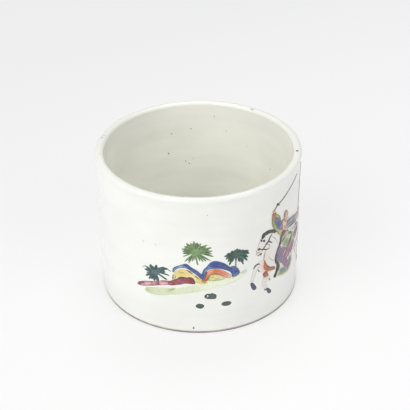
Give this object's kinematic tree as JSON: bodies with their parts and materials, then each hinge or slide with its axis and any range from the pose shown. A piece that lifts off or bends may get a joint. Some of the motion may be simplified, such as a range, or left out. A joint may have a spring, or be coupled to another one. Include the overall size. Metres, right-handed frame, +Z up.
{
  "type": "brush pot",
  "caption": "Low, wide cylindrical porcelain brush pot, open at the top, with a rounded lip, a recessed base and raised enamels of rocks, pines and a mounted rider.",
  "frame": {"origin": "centre of the foot, on the table", "axes": "+Z up along the pot's axis, -Y to the painted front, +X to the right of it"},
  "size_m": [0.172, 0.172, 0.13],
  "materials": {
    "glaze": "gloss white glaze",
    "rose": "gloss enamel",
    "crimson": "gloss enamel",
    "yellow": "gloss enamel",
    "blue": "gloss enamel",
    "orange": "gloss enamel",
    "pale_green": "gloss enamel",
    "teal": "gloss enamel",
    "leaf_green": "gloss enamel",
    "dark_green": "gloss enamel",
    "moss": "gloss enamel",
    "bark": "satin enamel",
    "white": "gloss white enamel",
    "mane": "satin enamel",
    "iron_red": "satin iron red",
    "hoof_blue": "gloss enamel",
    "armour_green": "gloss enamel",
    "plum": "gloss enamel",
    "olive": "gloss enamel",
    "black": "satin black enamel",
    "sleeve_blue": "gloss enamel",
    "grey_blue": "gloss enamel",
    "skin": "gloss enamel",
    "peach": "gloss enamel"
  },
  "bodies": {
    "root": {"wall": "glaze", "base_plate": "glaze", "enamel_rose_bank": "rose", "enamel_crimson_rock": "crimson", "enamel_green_bank": "pale_green", "enamel_yellow_rock": "yellow", "enamel_orange_rock": "orange", "enamel_yellow_boulder": "yellow", "enamel_blue_ridge": "blue", "enamel_pine_left": "teal", "enamel_pine_left_trunk": "bark", "enamel_pine_middle": "leaf_green", "enamel_pine_middle_trunk": "bark", "enamel_pine_right": "dark_green", "enamel_pine_right_trunk": "bark", "enamel_moss_1": "moss", "enamel_moss_2": "moss", "enamel_moss_3": "moss", "enamel_horse": "white", "enamel_mane": "mane", "enamel_tail": "mane", "enamel_breast_strap": "iron_red", "enamel_tassel": "iron_red", "enamel_hoof_1": "hoof_blue", "enamel_hoof_2": "hoof_blue", "enamel_hoof_3": "hoof_blue", "enamel_hoof_4": "hoof_blue", "enamel_torso": "peach", "enamel_hip_plates": "armour_green", "enamel_robe_edge": "black", "enamel_skirt": "plum", "enamel_saddle_cloth": "olive", "enamel_boot": "black", "enamel_raised_sleeve": "sleeve_blue", "enamel_sleeve_border": "olive", "enamel_cuff": "iron_red", "enamel_low_sleeve": "grey_blue", "enamel_face": "skin", "enamel_cap": "iron_red", "enamel_staff": "bark", "enamel_far_staff": "bark"}
  },
  "joints": []
}
